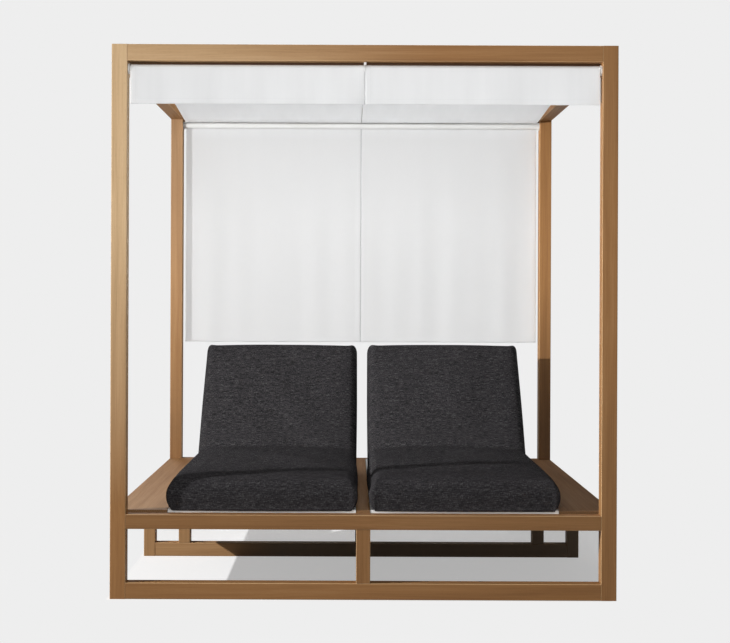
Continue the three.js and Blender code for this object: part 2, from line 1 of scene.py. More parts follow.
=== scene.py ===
"""Outdoor daybed with canopy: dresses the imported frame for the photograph.

Metres, +Z up, +X to the right seen from the front, and the front faces -Y.
"""

import json
import math

import bmesh
import bpy
import numpy as np
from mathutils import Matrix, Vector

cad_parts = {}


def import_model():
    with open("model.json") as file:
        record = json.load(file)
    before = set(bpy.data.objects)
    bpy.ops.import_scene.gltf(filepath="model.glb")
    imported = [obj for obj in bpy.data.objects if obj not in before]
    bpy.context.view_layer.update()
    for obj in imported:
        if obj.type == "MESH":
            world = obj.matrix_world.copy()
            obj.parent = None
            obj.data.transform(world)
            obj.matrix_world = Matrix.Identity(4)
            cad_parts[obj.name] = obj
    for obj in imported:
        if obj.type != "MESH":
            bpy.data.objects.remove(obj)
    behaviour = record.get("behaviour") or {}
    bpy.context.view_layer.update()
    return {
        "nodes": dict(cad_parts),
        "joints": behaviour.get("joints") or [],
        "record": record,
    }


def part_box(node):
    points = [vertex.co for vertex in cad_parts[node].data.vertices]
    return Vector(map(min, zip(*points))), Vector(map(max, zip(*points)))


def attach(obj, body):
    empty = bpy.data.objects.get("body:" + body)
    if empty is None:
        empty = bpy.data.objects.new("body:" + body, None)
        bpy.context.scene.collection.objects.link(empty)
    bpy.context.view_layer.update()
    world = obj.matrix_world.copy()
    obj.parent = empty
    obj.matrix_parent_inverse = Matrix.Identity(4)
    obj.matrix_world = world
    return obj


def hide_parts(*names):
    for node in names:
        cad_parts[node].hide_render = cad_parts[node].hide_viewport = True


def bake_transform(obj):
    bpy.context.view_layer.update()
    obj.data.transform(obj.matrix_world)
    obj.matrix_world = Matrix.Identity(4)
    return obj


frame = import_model()
nodes_by_name = frame["nodes"]

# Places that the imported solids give
front_rod_low, front_rod_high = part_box("front_canopy_rod")
rail_low, rail_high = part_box("front_top_rail")
valance_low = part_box("left_valance")[0]
curtain_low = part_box("left_rear_curtain")[0]
hinges = {j["name"]: j["pos_m"] for j in frame["joints"] if j["name"].endswith("_backrest_hinge")}

# The canopy's cloth. The last four values are distances along a sheet from the valance's lower edge
CLOTH_THICKNESS = 0.0013
HEM_THICKNESS = 0.0022
HEM_WIDTH = 0.024
HEM_STEP = 0.003
STITCH_INSET = 0.003
STITCH_HALF = 0.0007
ROD_GAP = 0.0003
SEAM_GAP = 0.0003
SEAM_REACH = 0.03
SEAM_LEAN = {"left": 0.005, "right": -0.001}
ROOF_SAG = 0.012
ROOF_NECK = 0.045
VALANCE_LONGER = 0.0028
VALANCE_NARROWS = 0.1
ROD_Y = -(front_rod_low.y + front_rod_high.y) / 2
ROD_Z = (front_rod_low.z + front_rod_high.z) / 2
ROD_RADIUS = (front_rod_high.z - front_rod_low.z) / 2
CLOTH_RADIUS = ROD_RADIUS + ROD_GAP + HEM_THICKNESS / 2
QUARTER_TURN = CLOTH_RADIUS * math.pi / 2
SHEET_HALF = -curtain_low.x
VALANCE_HALF = -valance_low.x
VALANCE_DROP = ROD_Z - (valance_low.z - VALANCE_LONGER)
CURTAIN_DROP = ROD_Z - curtain_low.z
ROOF_START = VALANCE_DROP + QUARTER_TURN
ROOF_END = ROOF_START + 2 * ROD_Y
CURTAIN_START = ROOF_END + QUARTER_TURN
SHEET_LENGTH = CURTAIN_START + CURTAIN_DROP


# Meshes


def new_piece(name, points, faces, finish, uv=None, smooth=True):
    """Makes an object from an array of points (n, 3) and an array of faces (m, 3 or 4).
    uv is one pair for each corner of each face, or one pair for each point."""
    mesh = bpy.data.meshes.new(name)
    mesh.from_pydata(np.asarray(points, float).tolist(), [], np.asarray(faces).tolist())
    if uv is not None:
        corners = uv if len(uv) == faces.size else uv[faces.ravel()]
        layer = mesh.uv_layers.new(name="cloth")
        layer.data.foreach_set("uv", np.asarray(corners, np.float32).ravel())
    mesh.polygons.foreach_set("use_smooth", np.full(len(faces), smooth))
    mesh.materials.append(finish)
    mesh.update()
    piece = bpy.data.objects.new(name, mesh)
    bpy.context.scene.collection.objects.link(piece)
    return piece


def coordinates(piece):
    """The piece's points as an array (n, 3)"""
    flat = np.empty(len(piece.data.vertices) * 3, np.float32)
    piece.data.vertices.foreach_get("co", flat)
    return flat.reshape(-1, 3).astype(float)


def set_coordinates(piece, points):
    piece.data.vertices.foreach_set("co", np.asarray(points, np.float32).ravel())
    piece.data.update()


def grid_faces(rows, columns, wrap_columns=False):
    """Quads of a grid of points stored row by row; the last column joins the first if it wraps"""
    j, i = np.meshgrid(np.arange(rows - 1), np.arange(columns - (not wrap_columns)), indexing="ij")
    nxt = (i + 1) % columns
    return np.stack([j * columns + i, j * columns + nxt, (j + 1) * columns + nxt, (j + 1) * columns + i],
                    axis=-1).reshape(-1, 4)


def grid_rim(rows, columns):
    """Numbers of the outer points of a grid, once round: along the first row, up the last column,
    back along the last row and down the first column"""
    number = np.arange(rows * columns).reshape(rows, columns)
    return np.concatenate([number[0, :-1], number[:-1, -1], number[-1, :0:-1], number[:0:-1, 0]])


def strip_corners(upper, lower):
    """Corners of the quads between two closed rows, given as point numbers or as places"""
    return np.stack([lower, np.roll(lower, -1, 0), np.roll(upper, -1, 0), upper], 1)


def tube(name, path, radius, finish, closed=False, around=8, flat=1.0):
    """A cord along a path: each ring is the path's point plus radius times (cos t, flat sin t) in
    the plane across the path's direction. Its cloth coordinates are the way round and the way along."""
    path = np.asarray(path, float)
    ahead = np.roll(path, -1, 0) - np.roll(path, 1, 0)
    if not closed:
        ahead[0], ahead[-1] = path[1] - path[0], path[-1] - path[-2]
    ahead /= np.linalg.norm(ahead, axis=1, keepdims=True)
    side = np.cross(ahead, (0.0, 0.0, 1.0))
    upright = np.linalg.norm(side, axis=1) < 0.2
    side[upright] = np.cross(ahead[upright], (1.0, 0.0, 0.0))
    side /= np.linalg.norm(side, axis=1, keepdims=True)
    up = np.cross(side, ahead)
    t = np.linspace(0, 2 * np.pi, around, endpoint=False)
    rings = path[:, None] + radius * (np.cos(t)[None, :, None] * side[:, None]
                                      + flat * np.sin(t)[None, :, None] * up[:, None])
    count = len(path)
    steps = np.arange(count - (not closed))
    j, i = (a.ravel() for a in np.meshgrid(steps, np.arange(around), indexing="ij"))
    nxt, later = (i + 1) % around, (j + 1) % count
    faces = np.stack([later * around + i, later * around + nxt, j * around + nxt, j * around + i], -1)
    gaps = np.linalg.norm(np.diff(np.vstack([path, path[:1]]), axis=0), axis=1)
    run = np.concatenate([[0.0], np.cumsum(gaps)])
    turn = 2 * np.pi * radius / around
    corners = ((i, j + 1), (i + 1, j + 1), (i + 1, j), (i, j))
    uv = np.stack([np.stack([a * turn, run[b]], -1) for a, b in corners], 1).reshape(-1, 2)
    piece = new_piece(name, rings.reshape(-1, 3), faces, finish, uv)
    if not closed:
        caps = bmesh.new()
        caps.from_mesh(piece.data)
        bmesh.ops.holes_fill(caps, edges=[e for e in caps.edges if e.is_boundary], sides=around)
        bmesh.ops.recalc_face_normals(caps, faces=caps.faces)
        caps.to_mesh(piece.data)
        caps.free()
    return piece


# Finishes


class Nodes:
    """A node tree being put together. add() makes a node and gives its output socket."""

    def __init__(self, tree):
        self.tree = tree

    def put(self, socket, value):
        if isinstance(value, bpy.types.NodeSocket):
            self.tree.links.new(value, socket)
        else:
            socket.default_value = value

    def add(self, kind, inputs=None, output=0, **settings):
        node = self.tree.nodes.new(kind)
        for key, value in settings.items():
            setattr(node, key, value)
        for key, value in (inputs or {}).items():
            self.put(node.inputs[key], value)
        return node.outputs[output]

    def math(self, operation, a, b=0.0, clamp=False):
        return self.add("ShaderNodeMath", {0: a, 1: b}, operation=operation, use_clamp=clamp)

    def plus(self, a, b, clamp=False):
        return self.math("ADD", a, b, clamp)

    def minus(self, a, b):
        return self.math("SUBTRACT", a, b)

    def times(self, a, b):
        return self.math("MULTIPLY", a, b)

    def larger(self, a, b):
        return self.math("MAXIMUM", a, b)

    def any_ray(self, *kinds):
        """1 for a ray of one of these kinds and 0 for others"""
        path = self.tree.nodes.new("ShaderNodeLightPath")
        share = path.outputs[f"Is {kinds[0]} Ray"]
        for kind in kinds[1:]:
            share = self.larger(share, path.outputs[f"Is {kind} Ray"])
        return share


class Finish(Nodes):
    """A material being put together round its own surface shader"""

    def __init__(self, name):
        self.material = bpy.data.materials.new(name)
        self.material.use_nodes = True
        super().__init__(self.material.node_tree)
        self.surface = self.tree.nodes["Principled BSDF"]

    def object_place(self):
        return self.add("ShaderNodeTexCoord", output=3)

    def cloth_place(self):
        return self.add("ShaderNodeUVMap", uv_map="cloth")

    def part(self, vector, axis):
        """One coordinate of a vector, by its number"""
        return self.add("ShaderNodeSeparateXYZ", {0: vector}, output=axis)

    def vector_math(self, operation, a, b):
        return self.add("ShaderNodeVectorMath", {0: a, 1: b}, operation=operation)

    def mix(self, share, a, b, blend="MIX"):
        return self.add("ShaderNodeMix", {0: share, 6: a, 7: b}, output=2, data_type="RGBA",
                        blend_type=blend)

    def span(self, value, low, high, to_low=0.0, to_high=1.0):
        """Value carried from low..high to to_low..to_high, and held at the ends"""
        return self.add("ShaderNodeMapRange", {0: value, 1: low, 2: high, 3: to_low, 4: to_high})

    def ramp(self, value, places, colours):
        """Colours at their places along 0..1, blended between them"""
        socket = self.add("ShaderNodeValToRGB", {0: value})
        ramp = socket.node.color_ramp
        while len(ramp.elements) < len(places):
            ramp.elements.new(0.5)
        for element, place, colour in zip(ramp.elements, places, colours):
            element.position = place
            element.color = (*colour, 1.0)
        return socket

    def noise(self, vector, scale, detail=3.0, roughness=0.55, distortion=0.0):
        return self.add("ShaderNodeTexNoise", {"Vector": vector, "Scale": scale, "Detail": detail,
                                               "Roughness": roughness, "Distortion": distortion})

    def stretched_noise(self, vector, cells, detail, roughness=0.55, distortion=0.0):
        """Noise with its own number of cells to a metre along each axis"""
        mapped = self.add("ShaderNodeMapping", {"Vector": vector, "Scale": cells}, vector_type="POINT")
        return self.noise(mapped, 1.0, detail, roughness, distortion)

    def bands(self, vector, scale, axis):
        return self.add("ShaderNodeTexWave", {"Vector": vector, "Scale": scale}, output=1,
                        bands_direction=axis)

    def bump(self, height, strength, distance):
        return self.add("ShaderNodeBump", {"Strength": strength, "Distance": distance, "Height": height})

    def finish(self, **values):
        names = {"colour": "Base Color", "roughness": "Roughness", "metallic": "Metallic",
                 "normal": "Normal", "gloss": "Specular IOR Level"}
        for key, value in values.items():
            self.put(self.surface.inputs[names[key]], value)
        return self.material

    def show(self, shader):
        """Makes the material show this shader instead of its own surface alone"""
        self.put(self.tree.nodes["Material Output"].inputs["Surface"], shader)
        return self.material


def grey(level):
    return (level, level, level, 1.0)


TEAK_STOPS = (0.0, 0.55, 1.0)
PALE_TEAK = ((0.56, 0.370, 0.193), (0.71, 0.490, 0.274), (0.79, 0.570, 0.340))
DEEP_TEAK = ((0.262, 0.120, 0.040), (0.355, 0.171, 0.059), (0.420, 0.217, 0.083))
END_GRAIN = ((0.20, 0.10, 0.040, 1.0), (0.33, 0.18, 0.078, 1.0))
TEAK_SPECK = (0.12, 0.055, 0.022, 1.0)
# Painted shade colour that darkens boards low down
TEAK_PAINTED_SHADE = (0.06, 0.045, 0.040, 1.0)
# Painted grey, for boards in shade and for the lit top of the rear left post
TEAK_PAINTED_GREY = (0.31, 0.25, 0.195, 1.0)
# Painted shade colour for the dark strips in the gaps under the top rails
TEAK_PAINTED_GAP_SHADE = (0.035, 0.016, 0.010, 1.0)
MIDDLE_FRAME = ("mid_floor_rail", "mid_centre_leg", "left_outer_mid_leg", "left_inner_mid_leg",
                "right_outer_mid_leg", "right_inner_mid_leg")

# Each kind of board: how much painted light pales it towards the top left, how much painted shade
# darkens it at its foot, and which solids are cut from it. All timber that isn't named is even.
BOARD_KINDS = {
    # Painted light: the front left post and the left deck slab are paler, where the key lamp falls
    "pale": (0.32, 0.10, ("front_left_post",)),
    "slab": (0.32, 0.20, ("left_deck_slab",)),
    "even": (0.02, 0.20, ()),
    "deep": (-0.12, 0.32, ("front_seat_rail", "front_centre_leg", "rear_deck_board")),
    # Painted shade: the rear right post is darkened strongly low down, where the cushion's shadow falls
    # on it
    "low": (-0.12, 0.64, ("rear_right_post",)),
    "grey": (-0.07, 0.42, ("rear_left_post",)),
    # Painted shade: the right deck slab and the left top rail are darker all over, where they lie in
    # shade
    "shaded": (-0.35, 0.52, ("right_deck_slab", "left_top_rail")),
    "inner": (-0.12, 0.0, MIDDLE_FRAME),
    "dark": (-0.5, 0.25, ()),
}


def teak(name, grain, kind):
    """Oiled teak. The figure is noise stretched along the grain, and ends show rings round their own
    middle. Painted light makes the boards paler towards the top, the left and the front, where the key
    lamp falls, and paler on their edges as a painted highlight. Painted shade darkens them low down.
    Some kinds are greyed by painted shade or painted light, and one is stained dark as painted shade in
    a gap."""
    f = Finish(name)
    place = f.object_place()
    x, y, z = (f.part(place, axis) for axis in range(3))
    along = "XYZ".index(grain)
    painted_lightness, painted_shade_depth, _ = BOARD_KINDS[kind]

    def grained(vector, across, lengthways, detail, roughness, distortion=0.0):
        """Noise with so many cells to a metre across the grain and along it"""
        cells = [across] * 3
        cells[along] = lengthways
        return f.stretched_noise(vector, cells, detail, roughness, distortion)

    wander = f.stretched_noise(place, [1.4] * 3, 1.0)
    bent = f.vector_math("ADD", place, f.vector_math("MULTIPLY", wander, (0.030, 0.030, 0.030)))
    figure = grained(bent, 34.0, 0.9, 3.0, 0.5, 0.15)
    lines = grained(bent, 300.0, 3.2, 2.0, 0.6)
    specks = grained(place, 1100.0, 46.0, 2.0, 0.5)
    tone = f.span(f.plus(f.times(figure, 0.60), f.times(lines, 0.40)), 0.30, 0.70)

    # Painted light: paler towards the left, the front and the top, where the key lamp falls
    left = f.times(f.span(x, 0.30, -1.0), f.span(y, 1.0, -1.0, 0.30, 1.0))
    painted_light_and_tone = f.times(f.plus(f.times(left, 0.68), painted_lightness), f.span(z, 0.34, 1.50))
    # Painted light on the left deck slab: paler towards its front
    if kind == "slab":
        painted_light_and_tone = f.larger(painted_light_and_tone, f.span(y, 0.9, -0.9, 0.05, 0.14))
    board = f.stretched_noise(place, [1.1] * 3, 1.0)
    painted_light_and_tone = f.plus(painted_light_and_tone, f.times(f.minus(board, 0.5), 0.25), clamp=True)
    deep, pale = (f.ramp(tone, TEAK_STOPS, colours) for colours in (DEEP_TEAK, PALE_TEAK))
    colour = f.mix(painted_light_and_tone, deep, pale)
    colour = f.mix(f.times(f.span(specks, 0.60, 0.72), 0.30), colour, TEAK_SPECK)

    normal = f.add("ShaderNodeTexCoord", output=1)
    facing = [f.math("ABSOLUTE", f.part(normal, axis)) for axis in range(3)]
    ringed = {"Vector": place, "Scale": 46.0, "Distortion": 3.5, "Detail": 2.0, "Detail Scale": 1.4}
    rings = f.add("ShaderNodeTexWave", ringed, output=1, wave_type="RINGS", rings_direction=grain)
    colour = f.mix(f.span(facing[along], 0.7, 0.9), colour, f.mix(rings, *END_GRAIN))
    # Painted shade: darker low down, where less light reaches
    painted_shade_share = f.span(z, 0.50, 1.30, painted_shade_depth, 0.0)
    colour = f.mix(painted_shade_share, colour, f.mix(1.0, colour, TEAK_PAINTED_SHADE, "MULTIPLY"))
    # The middle frame is paler all over; painted shade greys it towards the right, where it lies in the
    # deck's shade
    if kind == "inner":
        colour = f.mix(0.22, colour, pale)
        colour = f.mix(f.times(f.span(x, -0.62, -0.36), 0.75), colour, TEAK_PAINTED_GREY)
    # Painted light: the rear left post is paler and greyer towards its top
    if kind == "grey":
        colour = f.mix(f.span(z, 0.90, 1.90, 0.0, 0.20), colour, TEAK_PAINTED_GREY)
    # Painted highlight: the boards' edges are paler, as where light catches them
    flattest = f.larger(f.larger(facing[0], facing[1]), facing[2])
    colour = f.mix(f.span(flattest, 0.99, 0.90, 0.0, 0.5), colour, pale)
    # Painted shade: the strips in the gaps under the top rails are stained almost black
    if kind == "dark":
        colour = f.mix(0.80, colour, TEAK_PAINTED_GAP_SHADE)
    relief = f.bump(f.plus(f.times(lines, 0.6), f.times(specks, 0.4)), 0.22, 0.0005)
    roughness = f.span(tone, 0.0, 1.0, 0.66, 0.54)
    return f.finish(colour=colour, roughness=roughness, normal=relief, gloss=0.25)


def powder_coat():
    """White powder coat: a fine orange-peel relief, and dust that dulls it a little in patches"""
    f = Finish("white_powder_coat")
    place = f.object_place()
    peel = f.noise(place, 900.0, 2.0)
    dust = f.noise(place, 7.0, 3.0)
    colour = f.mix(f.span(dust, 0.35, 0.75), (0.82, 0.82, 0.81, 1.0), (0.76, 0.76, 0.74, 1.0))
    return f.finish(colour=colour, roughness=f.span(dust, 0.3, 0.7, 0.34, 0.46),
                    normal=f.bump(peel, 0.12, 0.0003))


def brushed_steel():
    """Brushed steel: fine lines round the rods"""
    f = Finish("brushed_steel")
    lines = f.stretched_noise(f.object_place(), [1800.0, 60.0, 60.0], 2.0)
    return f.finish(colour=(0.55, 0.56, 0.57, 1.0), metallic=1.0, normal=f.bump(lines, 0.15, 0.0002),
                    roughness=f.span(lines, 0.3, 0.7, 0.26, 0.42))


def charcoal_weave():
    """Charcoal outdoor weave: dark yarn with lighter slubs that run across the mattress, over a
    fine plain weave of crossing threads. The slubs show most on the seat, less on the back and least
    at the sitting end."""
    f = Finish("charcoal_weave")
    place = f.cloth_place()
    slubs = f.stretched_noise(place, (40.0, 360.0, 1.0), 2.0, 0.5)
    flecks = f.stretched_noise(place, (130.0, 760.0, 1.0), 1.0, 0.5)
    columns = f.stretched_noise(place, (330.0, 100.0, 1.0), 1.0, 0.5)
    rows = f.stretched_noise(place, (9.0, 70.0, 1.0), 3.0, 0.6)
    yarn = f.times(slubs, 0.36)
    for pattern, share in ((flecks, 0.32), (columns, 0.20), (rows, 0.12)):
        yarn = f.plus(yarn, f.times(pattern, share))
    along = f.part(place, 1)
    contrast = f.minus(f.span(along, -1.08, -0.80, 0.85, 1.45), f.span(along, -0.06, 0.10, 0.0, 0.30))
    yarn = f.plus(0.5, f.times(f.minus(yarn, 0.5), contrast))
    colour = f.ramp(yarn, (0.40, 0.50, 0.56, 0.65), ((0.013, 0.012, 0.0135), (0.030, 0.028, 0.030),
                                                     (0.058, 0.056, 0.058), (0.125, 0.121, 0.123)))
    crossing = f.larger(f.bands(place, 95.0, "X"), f.bands(place, 95.0, "Y"))
    relief = f.bump(f.plus(crossing, f.times(flecks, 0.8)), 0.32, 0.0012)
    return f.finish(colour=colour, roughness=0.95, normal=relief, gloss=0.0)


def zip_coil():
    """Black nylon zip coil: fine ridges across its length"""
    f = Finish("zip_coil")
    ridges = f.bands(f.cloth_place(), 110.0, "Y")
    colour = f.mix(ridges, (0.012, 0.012, 0.013, 1.0), (0.045, 0.045, 0.048, 1.0))
    return f.finish(colour=colour, roughness=0.4, normal=f.bump(ridges, 0.6, 0.0006))


def canopy_cloth():
    """White canopy cloth: a fine weave with faint streaks down the drop and a row of stitches inside
    each hem. A darker line along the middle seam is painted shade in the gap between the sheets, and the
    curtain is greyer than the rest as painted shade. The valance is lined, so light comes through it
    least, and through the roof most."""
    f = Finish("canopy_cloth")
    place = f.cloth_place()
    across, run = f.part(place, 0), f.part(place, 1)

    def stitch_row(from_edge, lengthways):
        """Dashes on a line that lies STITCH_INSET short of the hem's inner edge, 220 to a metre"""
        row = f.add("ShaderNodeMath", {0: from_edge, 1: HEM_WIDTH - STITCH_INSET, 2: STITCH_HALF},
                    operation="COMPARE")
        dashes = f.math("GREATER_THAN", f.math("FRACT", f.times(lengthways, 220.0)), 0.3)
        return f.times(row, dashes)

    streaks = f.stretched_noise(place, (14.0, 1.2, 1.0), 3.0, 0.6)
    threads = f.stretched_noise(place, (700.0, 700.0, 1.0), 2.0)
    colour = f.mix(f.span(streaks, 0.3, 0.7), (0.90, 0.905, 0.91, 1.0), (0.865, 0.87, 0.875, 1.0))
    from_side = f.math("MINIMUM", across, f.minus(SHEET_HALF, across))
    from_end = f.math("MINIMUM", run, f.minus(SHEET_LENGTH, run))
    stitches = f.larger(stitch_row(from_side, run), stitch_row(from_end, across))
    colour = f.mix(f.times(stitches, 0.15), colour, (0.55, 0.56, 0.57, 1.0))
    # Painted shade: the curtain part of the sheet is greyer than the valance and roof
    on_curtain = f.span(run, 2.10, 2.20)
    colour = f.mix(f.times(on_curtain, 0.8), colour, grey(0.80))
    # Painted shade: a darker line along the middle seam, where the two sheets meet
    colour = f.mix(f.span(across, 0.0022, 0.0034, 0.45, 0.0), colour, (0.42, 0.43, 0.44, 1.0))
    relief = f.bump(threads, 0.12, 0.0005)
    f.finish(colour=colour, roughness=0.9, normal=relief, gloss=0.2)
    through = f.add("ShaderNodeBsdfTranslucent", {"Color": colour, "Normal": relief})
    share = f.minus(f.span(run, 0.14, 0.20, 0.10, 0.50), f.times(on_curtain, 0.22))
    return f.show(f.add("ShaderNodeMixShader", {0: share, 1: f.surface.outputs[0], 2: through}))


teaks = {}
white_metal = powder_coat()
steel = brushed_steel()
charcoal = charcoal_weave()
coil_nylon = zip_coil()
white_cloth = canopy_cloth()


def teak_for(grain, kind="even"):
    """The teak of one grain direction and kind, made when it is first asked for"""
    key = (grain, kind)
    if key not in teaks:
        teaks[key] = teak(f"{kind}_teak_{grain.lower()}", grain, kind)
    return teaks[key]


def finish_solids():
    """Each CAD solid that shows gets its finish; a timber's grain runs along its longest side"""
    slots = {s["node"]: s["material_slot"] for s in frame["record"]["subparts"]}
    plain = {"white_metal": white_metal, "steel": steel, "dark_weave": charcoal,
             "white_fabric": white_cloth}
    for name, solid in nodes_by_name.items():
        low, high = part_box(name)
        grain = "XYZ"[int(np.argmax(np.array(high) - np.array(low)))]
        kind = next((kind for kind, (_, _, boards) in BOARD_KINDS.items() if name in boards), "even")
        finish = plain.get(slots[name]) or teak_for(grain, kind)
        solid.data.materials.clear()
        solid.data.materials.append(finish)


finish_solids()


# Mattresses

BACKREST_ANGLE = math.radians(49)
HALF_FOLD = math.tan(BACKREST_ANGLE / 2)
PAD_HALF = 0.3845
PAD_BASE = 0.0255
PAD_SEAT = 1.190
PAD_BACK = 0.734
EDGE_ROUND = 0.034
EDGE_ARC = 0.080
WIDEST = 0.052
SHOULDER = 0.125
CROWN = 0.014
CROWN_POWER = 2.2
CROWN_WAVES = 0.0010
FOLD_DIP = 0.22
FOLD_DIP_REACH = 0.05
SIDE_INSET = 0.028
END_INSET = 0.001
BACK_FULL = 0.004
FRONT_FULL = 0.016
FRONT_LEAN = 0.014
FRONT_TURN = 0.120
FRONT_TURN_RUN = 0.050
CORNER_POWER = 3.2
END_FULL = 0.007
DROOP = 0.0065
DROOP_START = 0.0055
DROOP_RUN = 0.004
DROOP_HEIGHT = 0.03
MITRE_REACH = 0.13
CREASE_SOFT = 0.012
CREASE_REACH = 0.07
FINE_CELL = 0.009
WIDE_CELL = 0.0155
FINE_REACH = 0.06
SIDE_ROWS = 6
SEAM_ROW = SIDE_ROWS - 1
ZIP_ROW = 3
SEAM_RADIUS = 0.0017
PUFF_FRAMES = 20
PUFF_CAP = 0.006
BASE_UV_ASIDE = 3.0
ZIP_HALF = 0.30
ZIP_HEAD = 0.004
ZIP_TAPE = 0.0075
ZIP_COIL = 0.0022
ZIP_PULL = 0.0030
ZIP_SLIDER = 0.0046
COIL_LIFT = 0.0016
SLIDER_LIFT = 0.0030
SLIDER_HALF = 0.006
PULL_REACH = (0.004, 0.010, -0.022)


def spaced(low, high, centres):
    """Places from low to high, FINE_CELL apart near each centre and WIDE_CELL apart elsewhere:
    the running sum of 1/cell, cut into equal shares"""
    line = np.linspace(low, high, 4001)
    near = np.zeros(len(line))
    for centre in centres:
        near = np.maximum(near, np.exp(-(((line - centre) / FINE_REACH) ** 4)))
    density = 1 / (WIDE_CELL + (FINE_CELL - WIDE_CELL) * near)
    total = np.concatenate([[0.0], np.cumsum((density[1:] + density[:-1]) / 2 * np.diff(line))])
    return np.interp(np.linspace(0, total[-1], int(round(total[-1])) + 1), total, line)


def fold_place(x, s, h):
    """A straight mattress laid over the hinge. s runs along it from the fold and h above the hinge
    axis. Both halves are mitred on the plane that halves the fold: the seat's point is
    (s - h tan(a/2) w, h) and the back's is (s + h tan(a/2) w, h) turned up by a, where w falls
    from 1 at the fold as exp(-(s/MITRE_REACH)^2). The crease is rounded by averaging along s."""
    total = np.zeros((len(x), 3))
    steps = np.arange(-3, 4)
    weights = np.exp(-0.5 * (steps / 1.6) ** 2)
    weights /= weights.sum()
    crease = CREASE_SOFT * np.exp(-((s / CREASE_REACH) ** 2))
    for step, weight in zip(steps, weights):
        along = s + step * crease
        mitre = h * HALF_FOLD * np.exp(-((along / MITRE_REACH) ** 2))
        back = along > 0
        flat = np.where(back, along + mitre, along - mitre)
        turned_y = flat * math.cos(BACKREST_ANGLE) - h * math.sin(BACKREST_ANGLE)
        turned_z = flat * math.sin(BACKREST_ANGLE) + h * math.cos(BACKREST_ANGLE)
        y = np.where(back, turned_y, flat)
        z = np.where(back, turned_z, h)
        total += weight * np.stack([x, y, z], -1)
    return total


def crown(x, s, back_length, random):
    """How much higher the top is than its shoulder: CROWN (1 - (1 - a/W)^p)(1 - (1 - b/W)^p) with
    a and b the distances from the side and the end, W half the width and p CROWN_POWER, plus a sum
    of ten flat waves, and lowered a little at the fold"""
    side = 1 - (1 - np.clip((PAD_HALF - np.abs(x)) / PAD_HALF, 0, 1)) ** CROWN_POWER
    end = np.minimum(PAD_SEAT + s, back_length - s)
    ends = 1 - (1 - np.clip(end / PAD_HALF, 0, 1)) ** CROWN_POWER
    fold = 1 - FOLD_DIP * np.exp(-((s / FOLD_DIP_REACH) ** 2))
    waves = np.zeros(len(x))
    for _ in range(10):
        fx, fs = random.uniform(-7, 7), random.uniform(-6, 6)
        waves += np.cos(np.pi * (fx * x + fs * s) + random.uniform(0, 2 * np.pi))
    return (CROWN * side * ends + CROWN_WAVES * waves * side * ends) * fold


